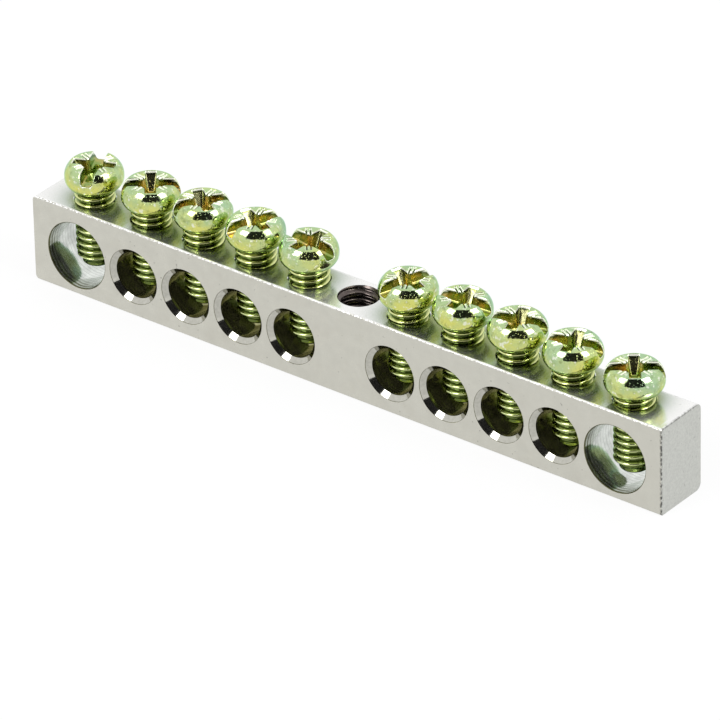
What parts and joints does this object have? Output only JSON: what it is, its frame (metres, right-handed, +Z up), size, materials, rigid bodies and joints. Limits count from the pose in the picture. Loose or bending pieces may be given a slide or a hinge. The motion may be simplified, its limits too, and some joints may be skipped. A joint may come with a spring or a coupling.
{
  "type": "earth terminal bar",
  "caption": "Cross-drilled metal terminal bar with a large wire hole at each end, small ones between, combination-recess clamping screws on top and a tapped mounting hole in the middle.",
  "frame": {"origin": "middle of the flat underside of the bar", "axes": "+X along the bar, +Y from the face where the wires enter to the rear face, +Z up towards the screw heads"},
  "size_m": [0.0724, 0.006, 0.0132],
  "materials": {
    "bar_metal": "satin, nickel plated",
    "screw_plating": "polished, yellow-green passivated zinc"
  },
  "bodies": {
    "bar": {"terminal_bar": "bar_metal"},
    "screw_01": {"clamp_screw_01": "screw_plating"},
    "screw_02": {"clamp_screw_02": "screw_plating"},
    "screw_03": {"clamp_screw_03": "screw_plating"},
    "screw_04": {"clamp_screw_04": "screw_plating"},
    "screw_05": {"clamp_screw_05": "screw_plating"},
    "screw_06": {"clamp_screw_06": "screw_plating"},
    "screw_07": {"clamp_screw_07": "screw_plating"},
    "screw_08": {"clamp_screw_08": "screw_plating"},
    "screw_09": {"clamp_screw_09": "screw_plating"},
    "screw_10": {"clamp_screw_10": "screw_plating"}
  },
  "joints": [
    {"name": "screw_01_travel", "type": "slide", "parent": "bar", "child": "screw_01", "axis": [0, 0, 1], "range_m": [-0.00127, 0.0051]},
    {"name": "screw_02_travel", "type": "slide", "parent": "bar", "child": "screw_02", "axis": [0, 0, 1], "range_m": [-0.00029, 0.0039]},
    {"name": "screw_03_travel", "type": "slide", "parent": "bar", "child": "screw_03", "axis": [0, 0, 1], "range_m": [-0.00048, 0.0037]},
    {"name": "screw_04_travel", "type": "slide", "parent": "bar", "child": "screw_04", "axis": [0, 0, 1], "range_m": [-0.00048, 0.0037]},
    {"name": "screw_05_travel", "type": "slide", "parent": "bar", "child": "screw_05", "axis": [0, 0, 1], "range_m": [-0.00041, 0.0038]},
    {"name": "screw_06_travel", "type": "slide", "parent": "bar", "child": "screw_06", "axis": [0, 0, 1], "range_m": [-0.00018, 0.004]},
    {"name": "screw_07_travel", "type": "slide", "parent": "bar", "child": "screw_07", "axis": [0, 0, 1], "range_m": [-0.00031, 0.0039]},
    {"name": "screw_08_travel", "type": "slide", "parent": "bar", "child": "screw_08", "axis": [0, 0, 1], "range_m": [-0.00027, 0.0039]},
    {"name": "screw_09_travel", "type": "slide", "parent": "bar", "child": "screw_09", "axis": [0, 0, 1], "range_m": [-0.00008, 0.0041]},
    {"name": "screw_10_travel", "type": "slide", "parent": "bar", "child": "screw_10", "axis": [0, 0, 1], "range_m": [-0.00091, 0.0054]}
  ]
}
